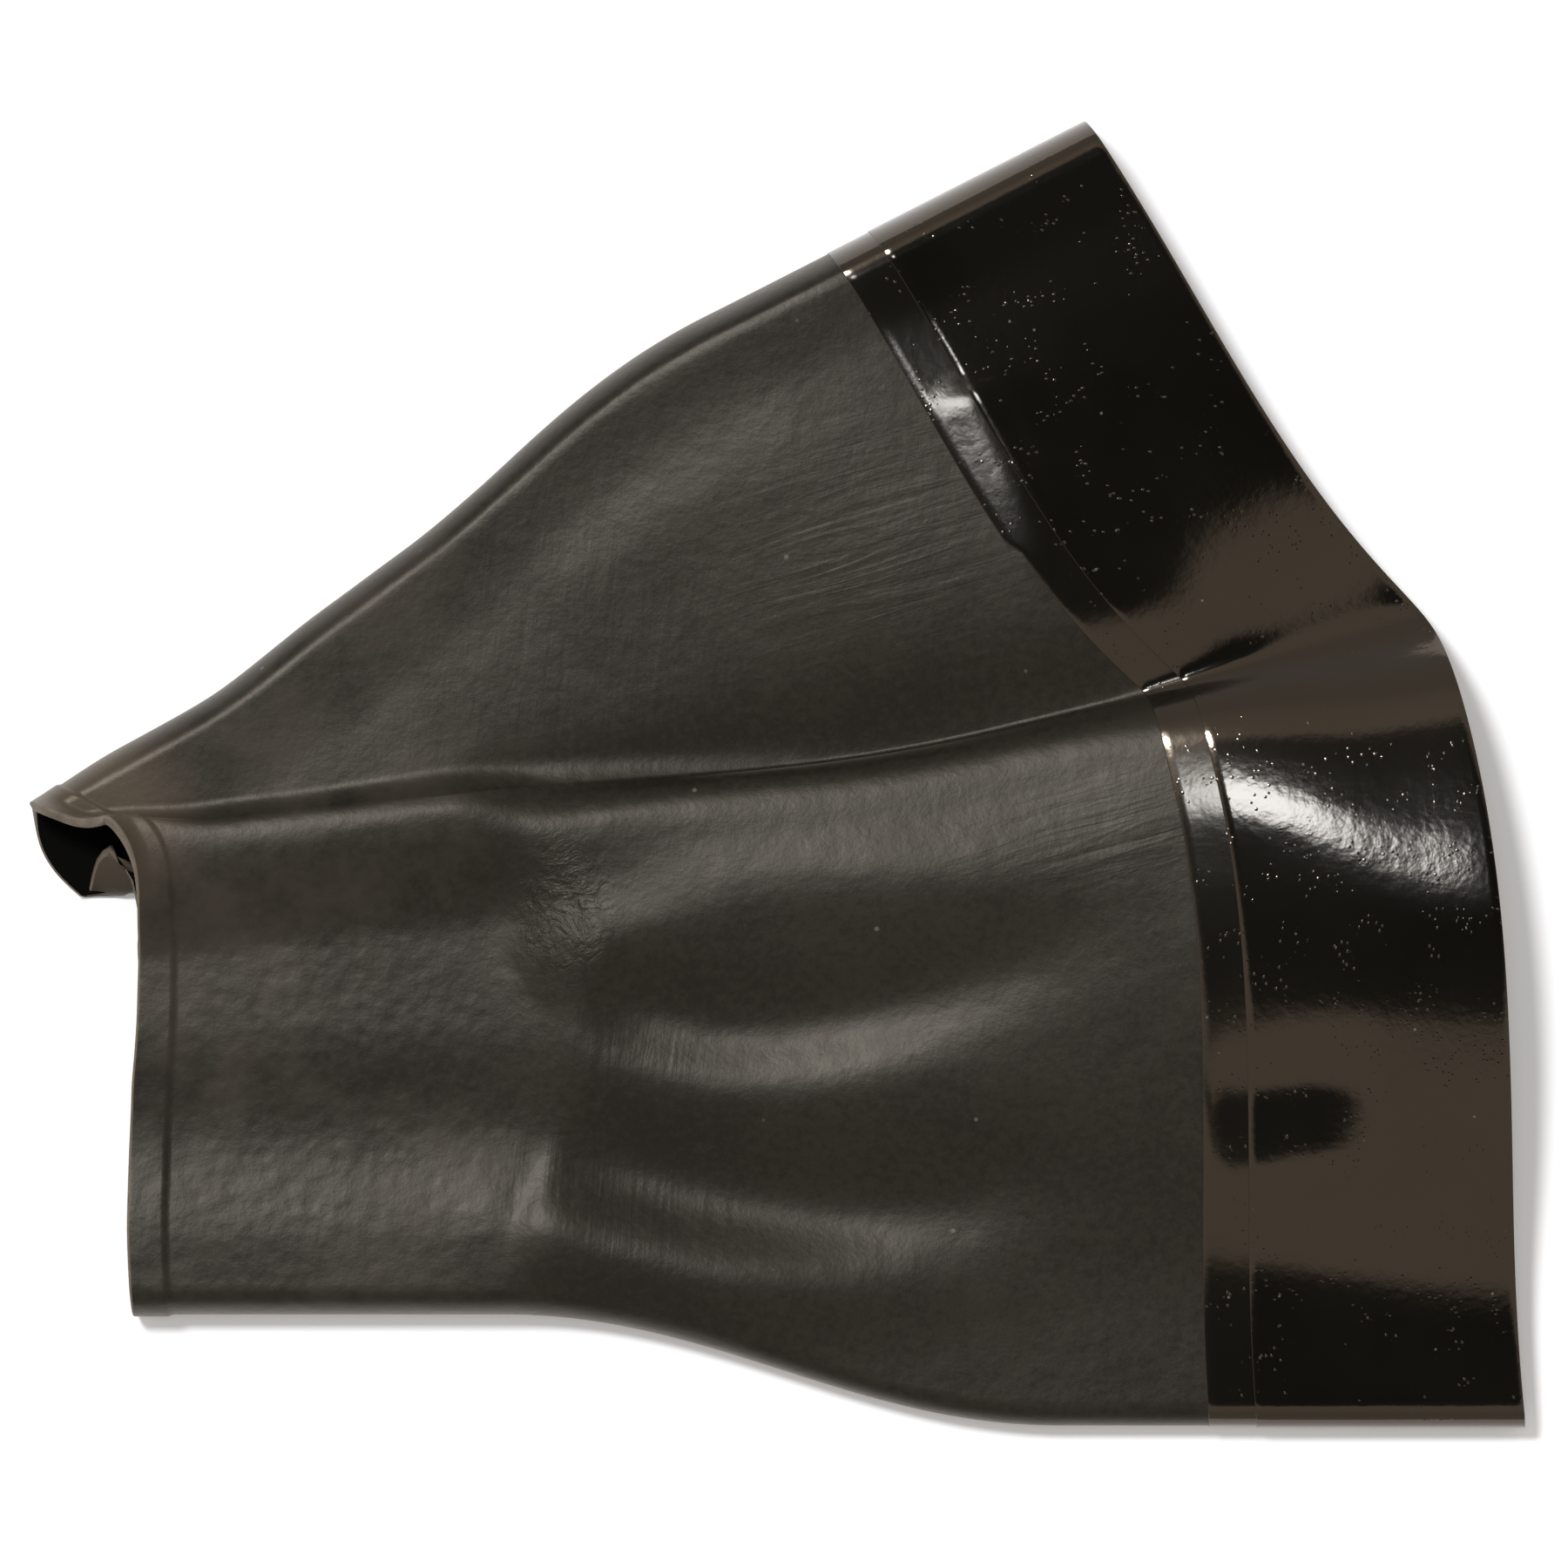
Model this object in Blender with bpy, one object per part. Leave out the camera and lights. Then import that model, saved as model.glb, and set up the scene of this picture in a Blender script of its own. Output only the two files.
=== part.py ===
"""Rubber wrist cuff: a thin-walled flared sleeve with two bonded plies round its wide end.

The sleeve is open at both ends. It lies flattened on its back, so it has a front and a back
wall that meet in two rounded folds, the top fold and the bottom fold. The front wall is also
gathered once along its length: a ridge on the neck opens into a valley, the pleat, which parts
the upper lobe from the lower lobe.

Frame: +X runs from the narrow mouth to the wide mouth, +Y across towards the top fold, and
+Z up from the surface that the cuff lies on. The origin is the centre of the footprint.
"""
import math

import bpy
from mathutils import Vector

# Along the sleeve, in metres. Each fold line is measured along its own run.
NECK_LENGTH = 0.047
FLARE_LENGTH = 0.072
SKIRT_LENGTH = 0.059
TOP_PULL = 0.017            # how much shorter the top fold runs, seen from above
PLEAT_PULL = 0.008          # the same for the pleat

# Across the narrow mouth, from the pleat's ridge to each fold.
NECK_UPPER_WIDTH = 0.0103
NECK_LOWER_WIDTH = 0.0615
MOUTH_SLANT = 0.0016        # the top fold's start lies this much above the ridge's start
BOTTOM_SETBACK = 0.0028     # and the bottom fold's start this much behind it

# Headings of the three lines, in degrees from +X: on the neck, on the skirt, and the extra
# turn at the middle of the flare.
TOP_HEADINGS = (33.3, 27.0, 13.8)
PLEAT_HEADINGS = (6.4, 13.6, -5.0)
BOTTOM_HEADINGS = (0.0, 0.0, -17.8)

# How far a line round the sleeve bows along it, two thirds of the way from a fold to the pleat.
UPPER_BOW = -0.0028
LOWER_BOW = 0.0036
MOUTH_BOW = 0.0026

# Walls and plies.
WALL = 0.0012
LIP_WIDTH = 0.0044          # thicker strip along the narrow rim
LIP_RISE = 0.0003
LIP_STEP = 0.0018           # length of the soft step down from the strip
UPPER_PLY_WIDTH = 0.0340
PLY_MARGIN = 0.0055         # how far the under ply reaches in beyond the band
UNDER_PLY_WIDTH = UPPER_PLY_WIDTH + PLY_MARGIN
PLY_THICKNESS = 0.0003
LAP_STEP = 0.0011           # the under ply's two ends meet this far out of line
LAP_PLACE = 0.62            # where they meet, as a share of the way from the top fold to the pleat
SEAT_GAP = 0.0003

# Heights of the outer surface above the ground.
FOLD_RADIUS = 0.0036
NECK_RIDGE = 0.0125
NECK_LEVEL = 0.0096
SKIRT_CREST = 0.0165
LOWER_LEVEL = 0.0125
UPPER_LEVEL = 0.0125
VALLEY_LEVEL = 0.0068
EDGE_LEVEL = 0.0090

# Reach of each slope, measured across from the pleat or from a fold.
CREST_RUN = 0.0075
CREST_SETTLE = 0.0200
UPPER_RUN = 0.0230
UPPER_RUN_LIMIT = 0.6       # as a share of the upper lobe's width, where the lobe is narrow
EDGE_RUN = 0.0160
VALLEY_OPENING = 0.043      # length over which the ridge on the neck becomes the full valley

# The back wall reaches further out of the narrow mouth than the front wall does, and it is
# pushed up there in one small fold under the ridge.
BACK_KINK = (-0.0040, -0.0092)
BACK_KINK_REACH = 0.0096
BACK_FOLD_RISE = 0.0052
BACK_FOLD_AT = 0.0038
BACK_FOLD_HALF_WIDTH = 0.0036
BACK_FOLD_LENGTH = 0.022

# Resolution: steps round a fold's quarter turn, across each lobe and along the sleeve.
QUARTER_STEPS = 3
UPPER_STEPS = 10
LOWER_STEPS = 13
ROW_LENGTH = 0.0056
PATH_STEPS = 160
PLY_LEAD = 1.5 * ROW_LENGTH # how far ahead of the plies the sleeve starts to go in below them
PLEAT_CROWDING = 1.5        # power that draws the steps across a lobe towards the pleat
NORMAL_STEP = 0.002         # share of the length between the rings that a normal is taken from
ROUNDING = 0.000001         # share of the length within which two rows are the same row

LENGTH = NECK_LENGTH + FLARE_LENGTH + SKIRT_LENGTH
PLY_STEP = SEAT_GAP + PLY_THICKNESS
PLY_STACK = 2 * PLY_STEP

BLACK_MATT = (0.028, 0.025, 0.020, 1.0)
BLACK_GLOSS = (0.009, 0.009, 0.007, 1.0)


def smooth(value):
    """Ease from 0 to 1 with level ends."""
    value = min(1.0, max(0.0, value))
    return value * value * (3.0 - 2.0 * value)


def mix(first, second, share):
    return first + (second - first) * share


def bell(value):
    """A rounded bump that is 1 in the middle and 0 beyond 1 either way."""
    return 0.5 + 0.5 * math.cos(math.pi * min(1.0, abs(value)))


def fold_turn(distance, radius):
    """How far round its quarter turn a fold has come at a distance from its outermost line."""
    share = min(1.0, max(0.0, distance / radius))
    return math.sqrt(1.0 - (1.0 - share) ** 2)


def heading(headings, share):
    """Heading of a fold line in radians, where share runs from 0 at the narrow rim to 1."""
    neck, skirt, extra = headings
    flare = (share * LENGTH - NECK_LENGTH) / FLARE_LENGTH
    flare = min(1.0, max(0.0, flare))
    return math.radians(mix(neck, skirt, smooth(flare)) + extra * math.sin(math.pi * flare))


def trace(start, headings, length):
    """Points along a fold line from its start at the narrow rim."""
    step = length / PATH_STEPS
    points = [Vector(start)]
    for index in range(PATH_STEPS):
        angle = heading(headings, (index + 0.5) / PATH_STEPS)
        points.append(points[-1] + step * Vector((math.cos(angle), math.sin(angle))))
    return points


TOP_LINE = trace((-NECK_UPPER_WIDTH, MOUTH_SLANT), TOP_HEADINGS, LENGTH - TOP_PULL)
PLEAT_LINE = trace((0.0, 0.0), PLEAT_HEADINGS, LENGTH - PLEAT_PULL)
BOTTOM_LINE = trace((BOTTOM_SETBACK, -NECK_LOWER_WIDTH), BOTTOM_HEADINGS, LENGTH)


def on_line(line, share):
    """The point at a share of a traced line."""
    place = min(1.0, max(0.0, share)) * PATH_STEPS
    index = min(PATH_STEPS - 1, int(place))
    return line[index].lerp(line[index + 1], place - index)


def skirt_share(share):
    """0 on the neck, 1 on the skirt."""
    return smooth((share * LENGTH - NECK_LENGTH) / FLARE_LENGTH)


def front_height(share, from_pleat, from_fold, upper):
    """Height of the front wall's outer surface, from its distances to the pleat and the fold."""
    skirt = skirt_share(share)
    crest = mix(NECK_RIDGE, SKIRT_CREST, skirt)
    opened = smooth((share * LENGTH - NECK_LENGTH) / VALLEY_OPENING)
    valley = mix(crest, VALLEY_LEVEL, opened)
    if upper:
        level = mix(NECK_LEVEL, UPPER_LEVEL, skirt)
        run = min(UPPER_RUN, UPPER_RUN_LIMIT * (from_pleat + from_fold))
        height = mix(valley, level, smooth(from_pleat / run))
    else:
        level = mix(NECK_LEVEL, LOWER_LEVEL, skirt)
        settled = mix(crest, level, smooth((from_pleat - CREST_RUN) / CREST_SETTLE))
        height = mix(valley, settled, smooth(from_pleat / CREST_RUN))
    edge = min(height, mix(NECK_LEVEL, EDGE_LEVEL, skirt))
    height = mix(edge, height, smooth(from_fold / EDGE_RUN))
    return FOLD_RADIUS + (height - FOLD_RADIUS) * fold_turn(from_fold, FOLD_RADIUS)


def back_height(share, from_pleat, from_fold, upper):
    """Height of the back wall's outer surface, with the fold that is pushed up at the mouth."""
    height = FOLD_RADIUS * (1.0 - fold_turn(from_fold, FOLD_RADIUS))
    if upper:
        return height
    rise = BACK_FOLD_RISE * bell((from_pleat - BACK_FOLD_AT) / BACK_FOLD_HALF_WIDTH)
    return height + rise * (1.0 - smooth(share * LENGTH / BACK_FOLD_LENGTH))


def no_kink(share, from_pleat, width, upper):
    return Vector((0.0, 0.0))


def back_kink(share, from_pleat, width, upper):
    """How far the back wall lies out of the front wall's outline, near the narrow mouth."""
    fade = 1.0 - smooth(share * LENGTH / NECK_LENGTH)
    near = 1.0 - from_pleat / width if upper else 1.0 - smooth(from_pleat / BACK_KINK_REACH)
    return Vector(BACK_KINK) * (fade * near)


def sleeve_rise(share):
    """The sleeve's own surface: out at the lip, a little in behind it, set in below the plies."""
    along = share * LENGTH
    plies_start = LENGTH - UNDER_PLY_WIDTH - LAP_STEP
    behind_lip = LIP_RISE * smooth((along - LIP_WIDTH) / LIP_STEP)
    below_plies = smooth((along - plies_start + PLY_LEAD) / ROW_LENGTH)
    return -mix(behind_lip, PLY_STACK, below_plies)


def lobe_distances(width, steps):
    """Distances from a fold towards the pleat: round the fold, then closer near the pleat."""
    quarter = math.pi / 2
    angles = [quarter * i / QUARTER_STEPS for i in range(QUARTER_STEPS + 1)]
    turns = [FOLD_RADIUS * (1 - math.cos(angle)) for angle in angles]
    flat = width - FOLD_RADIUS
    spread = [width - flat * (1 - i / steps) ** PLEAT_CROWDING for i in range(1, steps + 1)]
    return turns + spread


def skewed_bow(part):
    """0 at both ends and 1 at two thirds of the way."""
    return 27 / 4 * part * part * (1 - part)


def lobe(share, line, bow, steps, height, kink, upper):
    """One wall of one lobe, as points from its fold to the pleat."""
    edge = on_line(line, share)
    across = on_line(PLEAT_LINE, share) - edge
    width = across.length
    along = Vector((abs(across.y), -across.x * math.copysign(1.0, across.y))) / width
    points = []
    for distance in lobe_distances(width, steps):
        part = distance / width
        from_pleat = width - distance
        place = edge + across * part + along * bow * skewed_bow(part)
        place += kink(share, from_pleat, width, upper)
        level = height(share, from_pleat, distance, upper)
        points.append(Vector((place.x, place.y, level)))
    return points


def wall(share, height, kink):
    """The front or the back wall, as points from the top fold to the bottom fold."""
    bow = smooth(share * LENGTH / NECK_LENGTH)
    top = lobe(share, TOP_LINE, UPPER_BOW * bow, UPPER_STEPS, height, kink, True)
    low = lobe(share, BOTTOM_LINE, mix(MOUTH_BOW, LOWER_BOW, bow), LOWER_STEPS, height, kink, False)
    return top + low[-2::-1]


def ring(share):
    """The closed outer section of the whole stack at a share of its length."""
    return wall(share, front_height, no_kink) + wall(share, back_height, back_kink)[-2:0:-1]


def surface_row(share, rise):
    """A ring whose points are moved out along the surface's own normal."""
    here = ring(share)
    ahead = ring(min(1.0, share + NORMAL_STEP))
    behind = ring(max(0.0, share - NORMAL_STEP))
    row = []
    for index, point in enumerate(here):
        around = here[(index + 1) % len(here)] - here[index - 1]
        normal = around.cross(ahead[index] - behind[index]).normalized()
        row.append(point + normal * rise)
    return row


def drifted(row, other):
    """An edge that drifts from one row to another on its way round, and jumps back at the lap."""
    lap = round(LAP_PLACE * (QUARTER_STEPS + UPPER_STEPS))
    count = len(row)
    return [point.lerp(other[i], ((i - lap) % count) / (count - 1)) for i, point in enumerate(row)]


def row_shares(start, end):
    """Even shares between two lengths along the sleeve."""
    count = max(1, round((end - start) / ROW_LENGTH))
    return [mix(start, end, i / count) / LENGTH for i in range(count + 1)]


def sleeve_shares():
    """Rows of the sleeve, with one on each edge of the lip and of the plies."""
    marks = (0.0, LIP_WIDTH, LENGTH - UNDER_PLY_WIDTH, LENGTH - UPPER_PLY_WIDTH, LENGTH)
    shares = [0.0]
    for start, end in zip(marks, marks[1:]):
        shares += row_shares(start, end)[1:]
    return shares


def make_material(name, colour, roughness, coat):
    material = bpy.data.materials.new(name)
    material.use_nodes = True
    shader = material.node_tree.nodes["Principled BSDF"]
    shader.inputs["Base Color"].default_value = colour
    shader.inputs["Roughness"].default_value = roughness
    shader.inputs["Metallic"].default_value = 0.0
    shader.inputs["Coat Weight"].default_value = coat
    return material


def make_shell(name, rows, thickness, material):
    """A tube open at both ends: its outer surface from rows, its wall from Solidify."""
    around = len(rows[0])
    points = [point - FOOTPRINT_CENTRE for row in rows for point in row]
    faces = []
    for low in range(len(rows) - 1):
        for index in range(around):
            after = (index + 1) % around
            base = low * around
            top = base + around
            faces.append((base + index, base + after, top + after, top + index))
    mesh = bpy.data.meshes.new(name)
    mesh.from_pydata(points, [], faces)
    mesh.shade_smooth()
    mesh.materials.append(material)
    shell = bpy.data.objects.new(name, mesh)
    bpy.context.scene.collection.objects.link(shell)
    wall = shell.modifiers.new("wall", "SOLIDIFY")
    wall.thickness = thickness
    wall.offset = -1.0
    wall.use_rim = True
    return shell


def footprint_centre():
    """Middle of the sleeve's outline, seen from above."""
    points = [point for share in sleeve_shares() for point in ring(share)]
    middle = [(min(p[axis] for p in points) + max(p[axis] for p in points)) / 2 for axis in (0, 1)]
    return Vector((middle[0], middle[1], 0.0))


FOOTPRINT_CENTRE = footprint_centre()


def make_sleeve():
    rows = [surface_row(share, sleeve_rise(share)) for share in sleeve_shares()]
    return make_shell("sleeve_body", rows, WALL, make_material("matt_rubber", BLACK_MATT, 0.62, 0.0))


def ply_rows(width, rise):
    """Rows of a ply, which share the sleeve's own rows."""
    edge = (LENGTH - width) / LENGTH
    return [surface_row(share, rise) for share in sleeve_shares() if share > edge - ROUNDING]


def make_under_ply():
    rows = ply_rows(UNDER_PLY_WIDTH, -PLY_STEP)
    further = surface_row((LENGTH - UNDER_PLY_WIDTH - LAP_STEP) / LENGTH, -PLY_STEP)
    rows[0] = drifted(rows[0], further)
    material = make_material("under_ply_rubber", BLACK_GLOSS, 0.22, 0.5)
    return make_shell("under_ply", rows, PLY_THICKNESS, material)


def make_gloss_band():
    rows = ply_rows(UPPER_PLY_WIDTH, 0.0)
    material = make_material("gloss_rubber", BLACK_GLOSS, 0.14, 0.8)
    return make_shell("gloss_band", rows, PLY_THICKNESS, material)


def clear_scene():
    for item in list(bpy.data.objects):
        bpy.data.objects.remove(item, do_unlink=True)


def main():
    clear_scene()
    make_sleeve()
    make_under_ply()
    make_gloss_band()


main()
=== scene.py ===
"""The rubber wrist cuff as it looks: its folded shape with all its soft folds, its matt and its
glossy rubber, and a plain studio round it.

Everything is in metres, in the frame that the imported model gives: +X from the narrow mouth to
the wide mouth, +Y across towards the top fold, +Z up from the ground.
"""
import math

import bpy
import numpy as np
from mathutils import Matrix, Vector


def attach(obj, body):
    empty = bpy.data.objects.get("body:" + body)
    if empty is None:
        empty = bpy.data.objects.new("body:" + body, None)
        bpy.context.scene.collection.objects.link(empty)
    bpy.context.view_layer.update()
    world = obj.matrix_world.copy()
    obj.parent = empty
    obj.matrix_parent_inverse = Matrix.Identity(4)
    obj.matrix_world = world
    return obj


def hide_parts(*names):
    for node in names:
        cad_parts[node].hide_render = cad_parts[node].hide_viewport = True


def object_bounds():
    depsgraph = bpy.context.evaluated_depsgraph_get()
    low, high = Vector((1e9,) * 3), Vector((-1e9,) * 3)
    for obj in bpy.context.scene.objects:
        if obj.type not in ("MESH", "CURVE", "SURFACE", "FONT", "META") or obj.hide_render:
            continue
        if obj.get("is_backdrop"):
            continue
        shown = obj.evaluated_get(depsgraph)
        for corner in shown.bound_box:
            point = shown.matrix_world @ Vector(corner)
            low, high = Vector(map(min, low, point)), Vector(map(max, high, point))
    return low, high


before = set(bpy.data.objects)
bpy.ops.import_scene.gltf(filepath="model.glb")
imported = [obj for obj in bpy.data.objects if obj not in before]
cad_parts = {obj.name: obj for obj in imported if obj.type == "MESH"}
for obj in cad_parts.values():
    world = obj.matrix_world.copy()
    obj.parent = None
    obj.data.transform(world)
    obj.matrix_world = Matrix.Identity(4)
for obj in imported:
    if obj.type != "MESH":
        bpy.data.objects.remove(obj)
CAD_LOW, CAD_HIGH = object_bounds()

# ------------------------------------------------- driving dimensions, mostly the CAD model's own
NECK_LENGTH = 0.047
FLARE_LENGTH = 0.072
SKIRT_LENGTH = 0.059
TOP_PULL = 0.017
PLEAT_PULL = 0.008
NECK_UPPER_WIDTH = 0.0103
NECK_LOWER_WIDTH = 0.0615
MOUTH_SLANT = 0.0016
BOTTOM_SETBACK = 0.0028
TOP_HEADINGS = (33.3, 27.0, 13.8)
PLEAT_HEADINGS = (6.4, 13.6, -5.0)
BOTTOM_HEADINGS = (0.0, 0.0, -17.8)
UPPER_BOW = -0.0028
LOWER_BOW = 0.0036
MOUTH_BOW = 0.0026
MOUTH_UPPER_BOW = -0.0012

WALL = 0.0012
LIP_WIDTH = 0.0044
LIP_STEP = 0.0007
UPPER_PLY_WIDTH = 0.0340
PLY_MARGIN = 0.0055
UNDER_PLY_WIDTH = UPPER_PLY_WIDTH + PLY_MARGIN
LAP_STEP = 0.0011
LAP_PLACE = 0.62

FOLD_RADIUS = 0.0036
NECK_RIDGE = 0.0125
NECK_LEVEL = 0.0096
SKIRT_CREST = 0.0160
SHELF_LEVEL = 0.0072        # beside the bottom fold
UPPER_LEVEL = 0.0126
VALLEY_LEVEL = 0.0064
EDGE_RUN = 0.0140
EDGE_RISE = 0.0009          # how much higher the front wall is beside the top fold
VALLEY_OPENING = 0.043
BACK_KINK = (-0.0040, -0.0092)
BACK_KINK_REACH = 0.0096
BACK_BULGE = (-0.0014, -0.0009)
BACK_BULGE_LENGTH = 0.012

LENGTH = NECK_LENGTH + FLARE_LENGTH + SKIRT_LENGTH

# ------------------------------------------------- what only shows close up
PLY_THICKNESS = 0.00016
BOND = 0.00002              # how far a bonded ply sinks into what it lies on
UNDER_PLY_DEPTH = PLY_THICKNESS - BOND
SLEEVE_DEPTH = 2 * UNDER_PLY_DEPTH
LIP_DEPTH = 0.0             # how far the strip on the narrow rim lies below the outermost surface
RIM_ROUNDING = 0.00030
LOWEST_SHARE = 0.3          # in the dent the wall's inside stays up by this share of its depth
PLY_ROUNDING = 0.00008
OVERHANG = 0.0026           # how far the lower lobe leans over the pleat
OVERHANG_RUN = 0.0085
OVERHANG_EASE_START = 0.100
OVERHANG_EASE_RUN = 0.045
OVERHANG_LEFT = 0.55        # what is left of it at the plies
OVERHANG_END_START = 0.150
OVERHANG_END_RUN = 0.022

# The neck's ridge, and the faint hollow between it and the bottom fold.
RIDGE_AT = 0.0025           # its top lies this far below the pleat line
RIDGE_RUN = 0.0080          # how far it falls on the upper side
RIDGE_FALL = 0.0150         # and on the lower
NECK_HOLLOW = 0.0011
NECK_HOLLOW_AT = 0.023
NECK_HOLLOW_REACH = 0.014

# The shoulder, where the neck ends: this share of the change from neck to skirt comes at once.
SHOULDER_START = 0.0450
SHOULDER_RUN = 0.0150
SHOULDER_SHARE = 0.42

# The skirt. How far its crest lies from the pleat, by length along the sleeve.
CREST_AT = ((0.050, 0.018), (0.080, 0.020), (0.110, 0.020), (0.138, 0.0185), (0.145, 0.0197),
            (0.155, 0.0260), (0.167, 0.0360), (0.178, 0.0420))
# And how far from the pleat the fall on its other side starts.
FALL_AT = ((0.050, 0.018), (0.080, 0.020), (0.110, 0.021), (0.138, 0.024), (0.178, 0.038))
LOWER_FOLD_RADIUS = 0.0030
UPPER_FOLD_RADIUS = 0.0042
# How much higher than their plain levels the pleat's floor, the upper lobe and the lower lobe's
# crest are, by length along the sleeve.
VALLEY_ALONG = ((0.090, 0.0), (0.125, 0.0022), (0.135, 0.0024), (0.150, 0.0024), (0.156, 0.0020),
                (0.178, -0.0014))
UPPER_ALONG = ((0.050, -0.0030), (0.090, -0.0022), (0.120, -0.0003), (0.135, 0.0),
               (0.178, -0.0014))
LOWER_ALONG = ((0.090, -0.0026), (0.120, -0.0021), (0.138, -0.0012), (0.160, 0.0005),
               (0.178, 0.0017))
# The rise from the pleat to the crest. First its quick part: its share, by distance from the
# pleat. Then its slow part: height by distance, both as shares of the way to the crest.
QUICK_RISE = ((0.0, 0.0), (0.0012, 0.18), (0.0029, 0.54), (0.0045, 0.83), (0.0055, 0.94),
              (0.0068, 1.0), (0.012, 1.0))
SLOW_RISE = ((0.0, 0.0), (0.27, 0.0400), (0.45, 0.0638), (0.67, 0.0853), (0.86, 0.0954),
             (1.0, 0.0972), (1.3, 0.0972))
# Share of the fall from the crest to the shelf beside the bottom fold.
CREST_FALL = ((0.0, 0.0), (0.10, 0.03), (0.20, 0.10), (0.33, 0.235), (0.40, 0.33), (0.50, 0.50),
              (0.60, 0.69), (0.70, 0.84), (0.80, 0.92), (0.90, 0.965), (1.0, 1.0))
# Share of the rise from the pleat to the upper lobe's level.
UPPER_RISE = ((0.0, 0.0), (0.05, 0.13), (0.10, 0.31), (0.15, 0.52), (0.20, 0.68), (0.26, 0.80),
              (0.35, 0.90), (0.48, 0.985), (0.62, 1.0), (1.6, 1.0))
# How wide that rise is, as a multiple of its plain width, by length along the sleeve.
UPPER_REACH = ((0.090, 1.0), (0.125, 0.9), (0.138, 0.66), (0.150, 0.78), (0.157, 0.98),
               (0.164, 1.25), (0.178, 1.5))

# The outline stands out beyond the plain fold line here: by how much, by length along.
TOP_NUDGE = ((0.0, 0.0020), (0.012, 0.0021), (0.022, 0.0012), (0.031, 0.0006), (0.038, 0.0013),
             (0.048, 0.0025), (0.058, 0.0024), (0.068, 0.0014), (0.080, 0.0006), (0.120, 0.0))
MOUTH_NUDGE = 0.0024        # how far the front rim lies across at the pleat
MOUTH_NUDGE_LENGTH = 0.016
MOUTH_NUDGE_REACH = 0.012
BACK_NUDGE_SHARE = 0.35     # how much of it the back wall takes
# How far the front rim lies back into the neck, by distance from the pleat.
RIM_SHIFT = ((0.0, 0.0), (0.001, 0.0008), (0.003, 0.0022), (0.006, 0.0020), (0.009, 0.0014),
             (0.012, 0.0009), (0.016, 0.0005), (0.020, 0.0001), (0.025, -0.0002), (0.032, -0.0007),
             (0.040, -0.0007), (0.050, -0.0005), (0.060, 0.0))
RIM_SHIFT_LENGTH = 0.020

# The front wall turns up at the narrow mouth, most where it is gathered.
MOUTH_LIFT = 0.0022
MOUTH_LIFT_LENGTH = 0.0026
MOUTH_LIFT_REACH = 0.010

# The back wall's rim is dented there. Each: distance from the pleat, the rim's move in x, y and z,
# and what is left of the move in y further in.
DENT = (
    (0.0, 0.0, 0.0, 0.0, 0.0),
    (0.0015, 0.0002, 0.0010, 0.0008, 0.0006),
    (0.0030, -0.0002, 0.0039, 0.0026, 0.0011),
    (0.0045, -0.0008, 0.0054, 0.0036, 0.0015),
    (0.0062, -0.0007, 0.0055, 0.0046, 0.0020),
    (0.0080, -0.0005, 0.0044, 0.0040, 0.0024),
    (0.0100, 0.0002, 0.0035, 0.0028, 0.0020),
    (0.0125, 0.0006, 0.0016, 0.0012, 0.0009),
    (0.0150, 0.0, 0.0, 0.0, 0.0),
)
DENT_LIFT_LENGTH = 0.014
DENT_LENGTH = 0.0046

# ------------------------------------------------- how fine the meshes are
ROW_LENGTH = 0.0011
RIM_ROW_LENGTH = 0.00035    # the rows near the narrow rim are closer
RIM_ROWS_END = 0.0065
QUARTER_STEPS = 8
UPPER_STEPS = 52
LOWER_STEPS = 84
PLEAT_CROWDING = 1.25
INSIDE_COARSENESS = 3       # how many times longer the rows of a wall's inside are
BACK_COARSENESS = 2         # how many times fewer points a row has on the back wall
LAP_ROWS = 3                # how many rows near its edge the under ply's lap moves
TRACE_STEPS = 400
CURVE_FINENESS = 12         # steps within the spread of an eased curve
ALONG_SPREAD = 0.004        # the spread of most curves along the sleeve
PLEAT_EASE = 0.35           # how strongly the corner at the pleat is rounded, near the wide rim
PLEAT_EASE_START = 0.128
PLEAT_EASE_RUN = 0.045
NECK_EASE = 0.45            # and near the narrow one
NECK_EASE_START = 0.006
NECK_EASE_RUN = 0.040
PLEAT_EASE_COLUMNS = 26
PLEAT_EASE_STEPS = 60
NORMAL_REACH = 0.0003       # distance along the sleeve between the rows a normal is taken from


def smooth(value):
    """Ease from 0 to 1 with level ends."""
    value = np.clip(value, 0.0, 1.0)
    return value * value * (3.0 - 2.0 * value)


def bell(value):
    """A rounded bump that is 1 in the middle and 0 beyond 1 either way."""
    return 0.5 + 0.5 * np.cos(np.pi * np.clip(value, -1.0, 1.0))


def mix(first, second, share):
    """From first to second, by this share."""
    return first + (second - first) * share


def fold_turn(distance, radius):
    """How far round its quarter turn a fold has come at a distance from its outermost line."""
    share = np.clip(distance / radius, 0.0, 1.0)
    return np.sqrt(1.0 - (1.0 - share) ** 2)


# ------------------------------------------------- the fold lines, seen from above
def trace(start, headings, length):
    """Points along a fold line from the narrow rim, with the flare's turn in the middle."""
    neck, skirt, extra = headings
    share = (np.arange(TRACE_STEPS) + 0.5) / TRACE_STEPS
    flare = np.clip((share * LENGTH - NECK_LENGTH) / FLARE_LENGTH, 0.0, 1.0)
    angle = np.radians(mix(neck, skirt, smooth(flare)) + extra * np.sin(np.pi * flare))
    steps = np.stack([np.cos(angle), np.sin(angle)], axis=1) * length / TRACE_STEPS
    return np.vstack([start, np.array(start) + np.cumsum(steps, axis=0)])


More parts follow.
